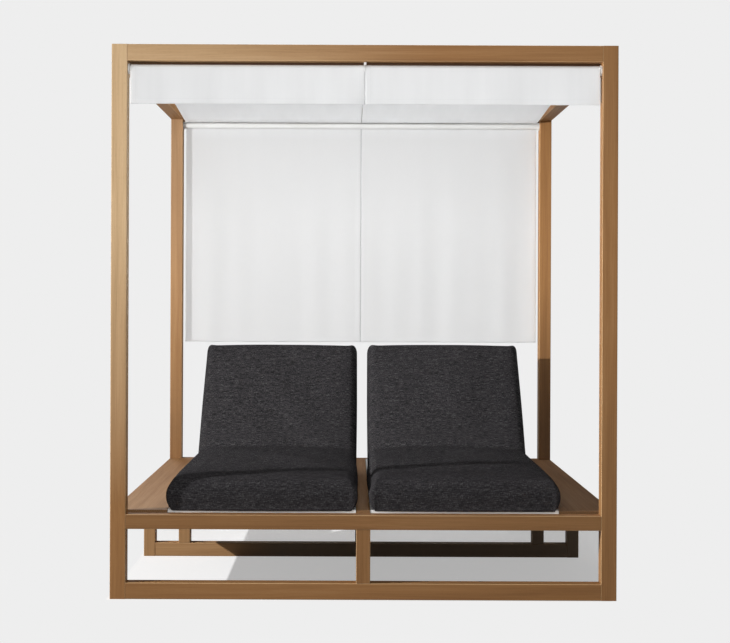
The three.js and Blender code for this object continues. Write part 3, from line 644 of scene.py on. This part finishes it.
def mattress_form(seed, longer, skew, seat_full):
    """A closed pad in three parts that share their edges: a crowned top, side rows and a flat base.
    Over the top, u and v are distances along the cloth. Nearer than EDGE_ARC to an edge the cloth
    bends down on a quarter ellipse, and corners turn it round their own centre, a little square:
    |dx|^p + |ds|^p is the same all round. Below the widest level the sides tuck in on a quarter
    ellipse. Between corners the sides and ends start a little full, by seat_full or BACK_FULL times
    sin^2 and by END_FULL (1 - (x/W)^2), because swelling draws them in again. The sitting end is
    FRONT_FULL wider below and leans in by FRONT_LEAN above, and its lower edge droops by DROOP over
    the lounger's rail."""
    random = np.random.default_rng(seed)
    back_length = PAD_BACK + longer
    inner_x, seat_s, back_s = PAD_HALF - EDGE_ROUND, PAD_SEAT - EDGE_ROUND, back_length - EDGE_ROUND
    u_edge = inner_x + EDGE_ARC
    v_low, v_high = -seat_s - EDGE_ARC, back_s + EDGE_ARC
    u = spaced(-u_edge, u_edge, (-u_edge, u_edge))
    v = spaced(v_low, v_high, (v_low, 0.0, v_high))
    uu, vv = (a.ravel() for a in np.meshgrid(u, v))

    core_x, core_s = np.clip(uu, -inner_x, inner_x), np.clip(vv, -seat_s, back_s)
    dx, ds = uu - core_x, vv - core_s
    away = np.maximum(np.abs(dx), np.abs(ds))
    powers = np.abs(dx) ** CORNER_POWER + np.abs(ds) ** CORNER_POWER
    length = np.maximum(powers ** (1 / CORNER_POWER), 1e-9)
    out_x, out_s = dx / length, ds / length
    angle = away / EDGE_ARC * np.pi / 2
    top_x = core_x + out_x * EDGE_ROUND * np.sin(angle)
    top_s = core_s + out_s * EDGE_ROUND * np.sin(angle)
    top_h = WIDEST + (SHOULDER - WIDEST) * np.cos(angle) + crown(top_x, top_s, back_length, random)
    base_x = core_x + out_x * (EDGE_ROUND - SIDE_INSET) * away / EDGE_ARC
    base_s = core_s + out_s * (EDGE_ROUND - END_INSET) * away / EDGE_ARC

    rim = grid_rim(len(v), len(u))
    share = np.arange(1, SIDE_ROWS)[:, None] / SIDE_ROWS
    tuck = 1 - np.sqrt(1 - share ** 2)
    side_x = core_x[rim] + out_x[rim] * (EDGE_ROUND - SIDE_INSET * tuck)
    side_s = core_s[rim] + out_s[rim] * (EDGE_ROUND - END_INSET * tuck)
    side_h = np.broadcast_to(WIDEST * (1 - share), side_x.shape)

    x = np.concatenate([top_x, side_x.ravel(), base_x])
    s = np.concatenate([top_s, side_s.ravel(), base_s])
    h = np.concatenate([top_h, side_h.ravel(), np.zeros(len(base_x))])
    between = np.clip(np.where(s < 0, s / -PAD_SEAT, s / back_length), 0, 1)
    across = np.clip(np.abs(x) / PAD_HALF, 0, 1)
    side_full = np.where(s < 0, seat_full, BACK_FULL) * np.sin(np.pi * between) ** 2
    front = np.where(s < 0, between ** 5, 0)
    low = np.clip((FRONT_TURN - h) / FRONT_TURN_RUN, 0, 1)
    x = x * (1 + low * (side_full + FRONT_FULL * front) - (1 - low) * FRONT_LEAN * front) + skew * s
    over_rail = np.clip((-s - (PAD_SEAT - DROOP_START)) / DROOP_RUN, 0, 1)
    h = h - DROOP * over_rail * np.clip(1 - h / DROOP_HEIGHT, 0, 1)
    s = s + np.sign(s) * END_FULL * (1 - across ** 2) * between ** 6
    points = fold_place(x, s, h + PAD_BASE)

    count, first_base = len(rim), len(top_x) + side_x.size
    side_rows = [len(top_x) + np.arange(count) + k * count for k in range(SIDE_ROWS - 1)]
    rows = [rim, *side_rows, first_base + rim]
    top_faces = grid_faces(len(v), len(u))
    base_faces = top_faces[:, ::-1]
    side_faces = [strip_corners(upper, lower) for upper, lower in zip(rows[:-1], rows[1:])]
    faces = np.vstack([top_faces, *side_faces, base_faces + first_base])

    # Cloth coordinates in metres: the sides carry on outwards from the top's rim
    top_uv = np.stack([uu, vv], -1)
    rim_out = np.stack([out_x[rim], out_s[rim]], -1)
    row_uv = [top_uv[rim] + rim_out * step for step in np.arange(0, SIDE_ROWS + 1) / SIDE_ROWS * WIDEST]
    side_uv = [strip_corners(upper, lower).reshape(-1, 2)
               for upper, lower in zip(row_uv[:-1], row_uv[1:])]
    base_uv = top_uv[base_faces.ravel()] + (BASE_UV_ASIDE, 0.0)
    uv = np.vstack([top_uv[top_faces.ravel()], *side_uv, base_uv])
    pinned = np.arange(len(points)) >= first_base
    return points, faces, uv, pinned, rows


def puff(piece, pinned):
    """Lets the cloth swell under pressure for PUFF_FRAMES frames with its base held, keeps each
    point within PUFF_CAP of where it began, and applies the result"""
    before = coordinates(piece)
    held = piece.vertex_groups.new(name="held")
    held.add(np.flatnonzero(pinned).tolist(), 1.0, "REPLACE")
    cloth = piece.modifiers.new("cloth", "CLOTH")
    settings = cloth.settings
    settings.quality = 4
    settings.mass = 0.3
    settings.tension_stiffness = 20
    settings.compression_stiffness = 12
    settings.shear_stiffness = 6
    settings.bending_stiffness = 1.2
    settings.use_pressure = True
    settings.uniform_pressure_force = 4
    settings.effector_weights.gravity = 0
    settings.vertex_group_mass = "held"
    scene = bpy.context.scene
    for number in range(1, PUFF_FRAMES + 1):
        scene.frame_set(number)
    after = coordinates(piece.evaluated_get(bpy.context.evaluated_depsgraph_get()))
    piece.modifiers.remove(cloth)
    scene.frame_set(1)
    move = after - before
    far = np.linalg.norm(move, axis=1, keepdims=True)
    set_coordinates(piece, before + move * np.minimum(1, PUFF_CAP / np.maximum(far, 1e-9)))


def zip_pieces(side, row):
    """A zip across the head end of the cover, ZIP_HALF to each side of its middle along one of the
    mattress's own rows: flat cords for the tape, the coil, the pull and the slider"""
    head = row[row[:, 2] > row[:, 2].max() - ZIP_HEAD]
    path = head[np.argsort(head[:, 0])]
    middle = (path[0, 0] + path[-1, 0]) / 2
    path = path[np.abs(path[:, 0] - middle) < ZIP_HALF]
    away = np.array([0.0, math.cos(BACKREST_ANGLE), math.sin(BACKREST_ANGLE)])
    slider = path[0] + away * SLIDER_LIFT
    pull_path = slider + np.outer(np.linspace(0, 1, 12), PULL_REACH)
    slider_path = slider + np.outer(np.linspace(-SLIDER_HALF, SLIDER_HALF, 9), (1.0, 0.0, 0.0))
    coil_path = path + away * COIL_LIFT
    for piece, slot in (
        (tube(f"{side}_zip_tape", path, ZIP_TAPE, charcoal, around=12, flat=0.22), "dark_weave"),
        (tube(f"{side}_zip_coil", coil_path, ZIP_COIL, coil_nylon, around=8, flat=0.7), "dark_weave"),
        (tube(f"{side}_zip_pull", pull_path, ZIP_PULL, steel, around=10, flat=0.35), "steel"),
        (tube(f"{side}_zip_slider", slider_path, ZIP_SLIDER, steel, around=10, flat=0.6), "steel"),
    ):
        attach(piece, f"{side}_backrest")


def mattress(side, seed, aside, longer, skew, seat_full):
    """One folded mattress for the lounger on that side, lying a little aside of its middle, with a seam
    cord round its lower edge."""
    hinge = np.array(hinges[f"{side}_backrest_hinge"])
    points, faces, uv, pinned, rows = mattress_form(seed, longer, skew, seat_full)
    piece = new_piece(f"{side}_mattress", points, faces, charcoal, uv)
    puff(piece, pinned)
    placed = coordinates(piece) + hinge + (aside, 0.0, 0.0)
    set_coordinates(piece, placed)
    bpy.context.view_layer.objects.active = piece
    smooth = piece.modifiers.new("smooth", "SUBSURF")
    smooth.levels = smooth.render_levels = 1
    with bpy.context.temp_override(object=piece, active_object=piece):
        bpy.ops.object.modifier_apply(modifier=smooth.name)
    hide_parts(f"{side}_seat_cushion", f"{side}_back_cushion")
    seam = tube(f"{side}_mattress_seam", placed[rows[SEAM_ROW]], SEAM_RADIUS, charcoal, closed=True)
    for each in (piece, seam):
        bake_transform(each)
    zip_pieces(side, placed[rows[ZIP_ROW]])


mattress("left", 11, 0.0038, 0.0005, 0.0039, 0.014)
mattress("right", 23, 0.0038, 0.0030, 0.0023, 0.022)


# Canopy


def sheet_runs():
    """Distances along a sheet at which it has a row of points: close together at its hems and round
    the rods, and even between them"""
    hem = np.array([0.0, 0.004, 0.012, HEM_WIDTH - 0.002, HEM_WIDTH + 0.002])
    beside_hem = HEM_WIDTH + 0.006
    turns = QUARTER_TURN * np.linspace(0, 1, 9)[1:]
    return np.concatenate([
        np.unique(np.concatenate([hem, np.linspace(beside_hem, VALANCE_DROP, 12)])),
        VALANCE_DROP + turns,
        ROOF_START + np.linspace(0, 2 * ROD_Y, 97)[1:],
        ROOF_END + turns,
        CURTAIN_START + np.linspace(0, CURTAIN_DROP - beside_hem, 64)[1:],
        SHEET_LENGTH - hem[::-1],
    ])


def hung_cloth(uu, ll, side, random):
    """Where a sheet's middle layer hangs, as x from the middle of the daybed outwards, y and z.
    Round a rod it is a quarter circle. The roof hangs ROOF_SAG (1 - (y/R)^2) below the rods and its
    outer edge is drawn in by ROOF_NECK (1 - |y/R|^1.2). Hanging parts ripple by a sum of sines that
    grows down, and the roof by one that is largest in its middle. At the middle seam the left
    valance lies back and the right one forward, by SEAM_LEAN times exp(-(d/SEAM_REACH)^2)."""
    a = np.clip((ll - VALANCE_DROP) / QUARTER_TURN, 0, 1) * np.pi / 2
    b = np.clip((ll - ROOF_END) / QUARTER_TURN, 0, 1) * np.pi / 2
    roof_y = -ROD_Y + np.clip(ll - ROOF_START, 0, 2 * ROD_Y)
    hollow = 1 - (roof_y / ROD_Y) ** 2
    on_valance, on_curtain = ll < ROOF_START, ll > ROOF_END
    on_roof = ~(on_valance | on_curtain)
    valance_z = ROD_Z + CLOTH_RADIUS * np.sin(a) - np.clip(VALANCE_DROP - ll, 0, None)
    curtain_z = ROD_Z + CLOTH_RADIUS * np.cos(b) - np.clip(ll - CURTAIN_START, 0, None)
    roof_z = ROD_Z + CLOTH_RADIUS - ROOF_SAG * hollow
    y = np.where(on_valance, -ROD_Y - CLOTH_RADIUS * np.cos(a),
                 np.where(on_curtain, ROD_Y + CLOTH_RADIUS * np.sin(b), roof_y))
    z = np.where(on_valance, valance_z, np.where(on_curtain, curtain_z, roof_z))
    valance_share = np.clip(1 - (ll - VALANCE_DROP) / VALANCE_NARROWS, 0, 1)
    half = SHEET_HALF + (VALANCE_HALF - SHEET_HALF) * valance_share
    half = half - ROOF_NECK * np.where(on_roof, 1 - np.abs(roof_y / ROD_Y) ** 1.2, 0)
    x = SEAM_GAP + (half - SEAM_GAP) * uu

    def ripple(low, high, count, size):
        """A sum of count sines across the sheet, each of low to high waves and its own start"""
        wave = np.zeros(uu.shape)
        for _ in range(count):
            wave += np.cos(2 * np.pi * (random.uniform(low, high) * uu + random.uniform(0, 1)))
        return size * wave / math.sqrt(count)

    down_valance = np.clip(1 - ll / VALANCE_DROP, 0, 1)
    down_curtain = np.clip((ll - CURTAIN_START) / CURTAIN_DROP, 0, 1)
    y = y + ripple(1.5, 6, 6, 0.0018) * down_valance
    y = y + ripple(2, 7, 8, 0.0013) * np.sin(down_curtain * np.pi / 2)
    z = z + ripple(1, 4, 5, 0.0010) * np.where(on_roof, hollow, 0)
    near_seam = np.exp(-((uu * SHEET_HALF / SEAM_REACH) ** 2))
    y = y + np.where(on_valance, near_seam * down_valance * SEAM_LEAN[side], 0)
    return x, y, z


def canopy_sheet(side, sign, seed):
    """One long sheet: up the valance, over the front rod, back along the roof, over the rear rod
    and down the curtain. l is the distance along it and u runs from the middle seam (0) to the
    outer edge (1). Its two faces lie half its thickness to each side of its middle layer. The hems
    are thicker, and the cloth thins out over its last HEM_STEP."""
    edge = np.array([0.0, 0.003, 0.010, HEM_WIDTH - 0.002, HEM_WIDTH + 0.002]) / SHEET_HALF
    inner = np.linspace(edge[-1] + 0.01, 1 - edge[-1] - 0.01, 90)
    uu, ll = np.meshgrid(np.unique(np.concatenate([edge, inner, 1 - edge])), sheet_runs())
    x, y, z = hung_cloth(uu, ll, side, np.random.default_rng(seed))

    middle = np.stack([sign * x, y, z], -1)
    out = np.cross(np.gradient(middle, axis=1), np.gradient(middle, axis=0)) * sign
    out /= np.linalg.norm(out, axis=-1, keepdims=True)
    from_rim = np.minimum(np.minimum(uu, 1 - uu) * SHEET_HALF, np.minimum(ll, SHEET_LENGTH - ll))
    hem = np.clip((HEM_WIDTH - from_rim) / HEM_STEP + 0.5, 0, 1)
    thinned = np.clip(from_rim / HEM_STEP, 0.35, 1)
    thick = (CLOTH_THICKNESS + (HEM_THICKNESS - CLOTH_THICKNESS) * hem) * thinned
    shift = out * thick[..., None] / 2
    points = np.vstack([(middle + shift).reshape(-1, 3), (middle - shift).reshape(-1, 3)])

    upper = grid_faces(*uu.shape)
    rim = grid_rim(*uu.shape)
    after = np.roll(rim, -1)
    band = np.stack([rim + uu.size, after + uu.size, after, rim], -1)
    faces = np.vstack([upper, upper[:, ::-1] + uu.size, band])
    if sign < 0:
        faces = faces[:, ::-1]
    uv = np.stack([uu * SHEET_HALF, ll], -1).reshape(-1, 2)
    piece = new_piece(f"{side}_canopy_sheet", points, faces, white_cloth, np.vstack([uv, uv]))
    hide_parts(f"{side}_valance", f"{side}_roof_panel", f"{side}_rear_curtain")
    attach(piece, "frame")
    return piece


GAP_SHADE_DEPTH = 0.013
GAP_SHADE_BOTTOM = 2.1140
GAP_SHADE_HALF = 0.936
GAP_SHADE_EASE = 0.0015
GAP_SHADE_END = 0.7


def gap_shade_strip(name, y_low, y_high):
    """A slim strip with eased edges under a top rail, stained dark as painted shade in the gap there: a
    rectangle whose corners are quarter circles, carried along X and drawn in at both ends to a set share
    of its size"""
    turn = np.linspace(0, np.pi / 2, 4)
    corner = np.stack([np.cos(turn), np.sin(turn)], -1) * GAP_SHADE_EASE
    low_y, high_y = y_low + GAP_SHADE_EASE, y_high - GAP_SHADE_EASE
    low_z, high_z = GAP_SHADE_BOTTOM + GAP_SHADE_EASE, rail_low.z - GAP_SHADE_EASE
    ring = []
    centres = ((high_y, high_z), (low_y, high_z), (low_y, low_z), (high_y, low_z))
    for quarter, centre in enumerate(centres):
        c, s = math.cos(quarter * math.pi / 2), math.sin(quarter * math.pi / 2)
        ring.append(corner @ np.array([[c, s], [-s, c]]) + centre)
    ring = np.vstack(ring)
    middle = ring.mean(0)
    ends = np.array([-GAP_SHADE_HALF, -GAP_SHADE_HALF + GAP_SHADE_EASE, GAP_SHADE_HALF - GAP_SHADE_EASE, GAP_SHADE_HALF])
    shrink = np.array([GAP_SHADE_END, 1.0, 1.0, GAP_SHADE_END])
    rings = middle + (ring - middle) * shrink[:, None, None]
    count = len(ring)
    along_x = np.broadcast_to(ends[:, None, None], (4, count, 1))
    points = np.concatenate([along_x, rings], -1).reshape(-1, 3)
    points = np.vstack([points, [[ends[0], *middle], [ends[-1], *middle]]])
    sides = grid_faces(4, count, wrap_columns=True)
    first, second = np.arange(count), (np.arange(count) + 1) % count
    low_end = np.stack([np.full(count, 4 * count), second, first], -1)
    high_end = np.stack([np.full(count, 4 * count + 1), 3 * count + first, 3 * count + second], -1)
    faces = np.vstack([sides[:, [0, 1, 2]], sides[:, [0, 2, 3]], low_end, high_end])
    piece = new_piece(name, points, faces, teak_for("X", "dark"), smooth=False)
    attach(piece, "frame")


# Painted shade: dark strips under the front and rear top rails fill the shaded gap above the canopy
# cloth
rail_face = abs(rail_high.y)
gap_shade_strip("front_rail_gap_shade", -(rail_face + GAP_SHADE_DEPTH), -rail_face)
gap_shade_strip("rear_rail_gap_shade", rail_face, rail_face + GAP_SHADE_DEPTH)

sheets = [canopy_sheet("left", -1, 5), canopy_sheet("right", 1, 8)]


# Studio

BACKGROUND = 0.855
FLOOR_LIFT = 0.408
FLOOR_SHARE = 0.685
FLOOR_HALF = 20.0
FLOOR_LEVEL = -0.0005
WORLD_STRENGTH = 0.12
KEY = (-3.5, -1.66, 1.9)
TIMBER_KEY = (-3.5, -1.74, 1.56)
KEY_AIM = (0.0, 0.0, 0.9)
KEY_SIZE = 0.04
CAMERA_PLACE = (-0.056, -6.823, 1.195)
CAMERA_ROLL = math.radians(-0.23)
CAMERA_LENS = 72.82
CAMERA_SHIFT = (0.0205, -0.0336)


def floor_finish():
    """A pale floor. Under the daybed the camera sees its own shade; beyond the footprint, which
    widens to the right towards the back, the floor runs out into the plain background over 20 mm."""
    f = Finish("studio_floor")
    f.tree.nodes.remove(f.surface)
    place = f.object_place()
    x, y = f.part(place, 0), f.part(place, 1)
    right = f.plus(0.97, f.times(f.plus(y, 1.0), 0.18))
    beyond_x = f.larger(f.larger(f.minus(x, right), f.minus(-1.0, x)), 0.0)
    beyond_y = f.larger(f.minus(f.math("ABSOLUTE", y), 1.0), 0.0)
    beyond = f.math("SQRT", f.plus(f.times(beyond_x, beyond_x), f.times(beyond_y, beyond_y)))
    away = f.add("ShaderNodeMapRange", {0: beyond, 1: 0.0, 2: 0.02}, interpolation_type="SMOOTHSTEP")
    shade = f.add("ShaderNodeBsdfDiffuse", {"Color": grey(FLOOR_SHARE)})
    lift = f.add("ShaderNodeEmission", {"Color": grey(FLOOR_LIFT)})
    near = f.add("ShaderNodeAddShader", {0: shade, 1: lift})
    plain = f.add("ShaderNodeEmission", {"Color": grey(BACKGROUND)})
    seen = f.add("ShaderNodeMixShader", {0: away, 1: near, 2: plain})
    unseen = f.add("ShaderNodeBsdfDiffuse", {"Color": grey(0.30)})
    direct = f.any_ray("Camera", "Glossy", "Transmission")
    return f.show(f.add("ShaderNodeMixShader", {0: direct, 1: unseen, 2: seen}))


def floor():
    """A flat square under the daybed"""
    reach = np.linspace(-FLOOR_HALF, FLOOR_HALF, 3)
    xx, yy = np.meshgrid(reach, reach)
    points = np.stack([xx.ravel(), yy.ravel(), np.full(xx.size, FLOOR_LEVEL)], -1)
    piece = new_piece("studio_floor", points, grid_faces(3, 3), floor_finish(), smooth=False)
    return piece


def world():
    """Even light from all round; the camera sees the plain background"""
    surroundings = bpy.data.worlds.new("studio")
    bpy.context.scene.world = surroundings
    surroundings.use_nodes = True
    f = Nodes(surroundings.node_tree)
    f.tree.nodes.clear()
    light = f.add("ShaderNodeBackground", {0: grey(1.0), 1: WORLD_STRENGTH})
    plain = f.add("ShaderNodeBackground", {0: grey(BACKGROUND)})
    both = f.add("ShaderNodeMixShader", {0: f.any_ray("Camera", "Transmission"), 1: light, 2: plain})
    f.put(f.tree.nodes.new("ShaderNodeOutputWorld").inputs[0], both)


def aimed(thing, target):
    """Turns a lamp so that it shines from its place to the target"""
    direction = np.array(thing.location) - np.array(target)
    flat = math.hypot(direction[0], direction[1])
    thing.rotation_euler = (math.atan2(flat, direction[2]), 0.0, math.atan2(direction[0], -direction[1]))


def linked(name, pieces, state):
    """A collection that tells a lamp which pieces it reaches, or which it passes through"""
    group = bpy.data.collections.new(name)
    for number, piece in enumerate(pieces):
        group.objects.link(piece)
        group.collection_objects[number].light_linking.link_state = state
    return group


def lamp(name, place, target, size, power, off=(), only=(), through=()):
    """A square lamp. It lights nothing in off, or nothing but what is in only, and what is in
    through throws no shadow in it."""
    light = bpy.data.lights.new(name, "AREA")
    light.shape = "SQUARE"
    light.size = size
    light.energy = power
    item = bpy.data.objects.new(name, light)
    item.location = place
    aimed(item, target)
    item.visible_camera = False
    bpy.context.scene.collection.objects.link(item)
    if off or only:
        state = "INCLUDE" if only else "EXCLUDE"
        item.light_linking.receiver_collection = linked(f"{name}_lit", only or off, state)
    if through:
        item.light_linking.blocker_collection = linked(f"{name}_shadows", through, "EXCLUDE")
    return light


def key_lamp(name, place, power, **reach):
    """A small round lamp that loses nothing with distance, as a far lamp would"""
    light = lamp(name, place, KEY_AIM, KEY_SIZE, power, **reach)
    light.shape = "DISK"
    light.use_nodes = True
    f = Nodes(light.node_tree)
    falloff = f.tree.nodes.new("ShaderNodeLightFalloff")
    falloff.inputs[0].default_value = 1.0
    f.put(f.tree.nodes["Emission"].inputs["Strength"], falloff.outputs["Constant"])


def solids(*names):
    return [nodes_by_name[name] for name in names]


def lights():
    """A key from the left in parts: one for the floor and the middle frame, one for all else but
    the canopy, and two for the canopy. Soft fills come from the front, above, the right and behind."""
    low_down = [ground, *solids(*MIDDLE_FRAME)]
    key_lamp("low_key", KEY, 12.0, only=low_down)
    key_lamp("key", TIMBER_KEY, 12.0, off=[*low_down, *sheets])
    key_lamp("canopy_key", KEY, 4.5, only=sheets, through=solids("front_left_post"))
    key_lamp("canopy_key_soft", KEY, 4.5, only=sheets,
             through=solids("front_left_post", "rear_left_post"))
    lamp("front_fill", (-0.1, -4.6, 2.0), (0.0, 0.0, 1.2), 1.2, 66.0, off=[ground])
    lamp("canopy_fill", (0.2, -3.6, 2.0), (0.1, 0.0, 1.8), 1.0, 14.0, only=sheets)
    lamp("canopy_side", (2.6, -1.5, 1.6), (0.4, 0.985, 1.5), 1.0, 12.0, only=sheets,
         through=solids("front_right_post", "rear_right_post"))
    lamp("roof_light", (0.0, 0.0, 5.5), (0.0, 0.0, 2.0), 2.4, 136.0, off=[ground])
    lamp("side_fill", (6.5, 3.5, 2.4), (0.0, 0.0, 1.0), 2.5, 95.0, off=[ground])
    lamp("back_fill", (-2.5, 4.6, 4.6), (0.0, 0.6, 1.2), 2.0, 110.0, off=[ground])


def camera():
    """The photograph's view: straight at the front from a little left of the middle, and level but
    for a slight roll"""
    data = bpy.data.cameras.new("view")
    data.sensor_width = 36.0
    data.lens = CAMERA_LENS
    data.shift_x, data.shift_y = CAMERA_SHIFT
    item = bpy.data.objects.new("view", data)
    item.location = CAMERA_PLACE
    item.rotation_euler = (math.pi / 2, CAMERA_ROLL, 0.0)
    bpy.context.scene.collection.objects.link(item)
    bpy.context.scene.camera = item


ground = floor()
world()
lights()
camera()
bpy.context.scene.view_settings.view_transform = "Standard"
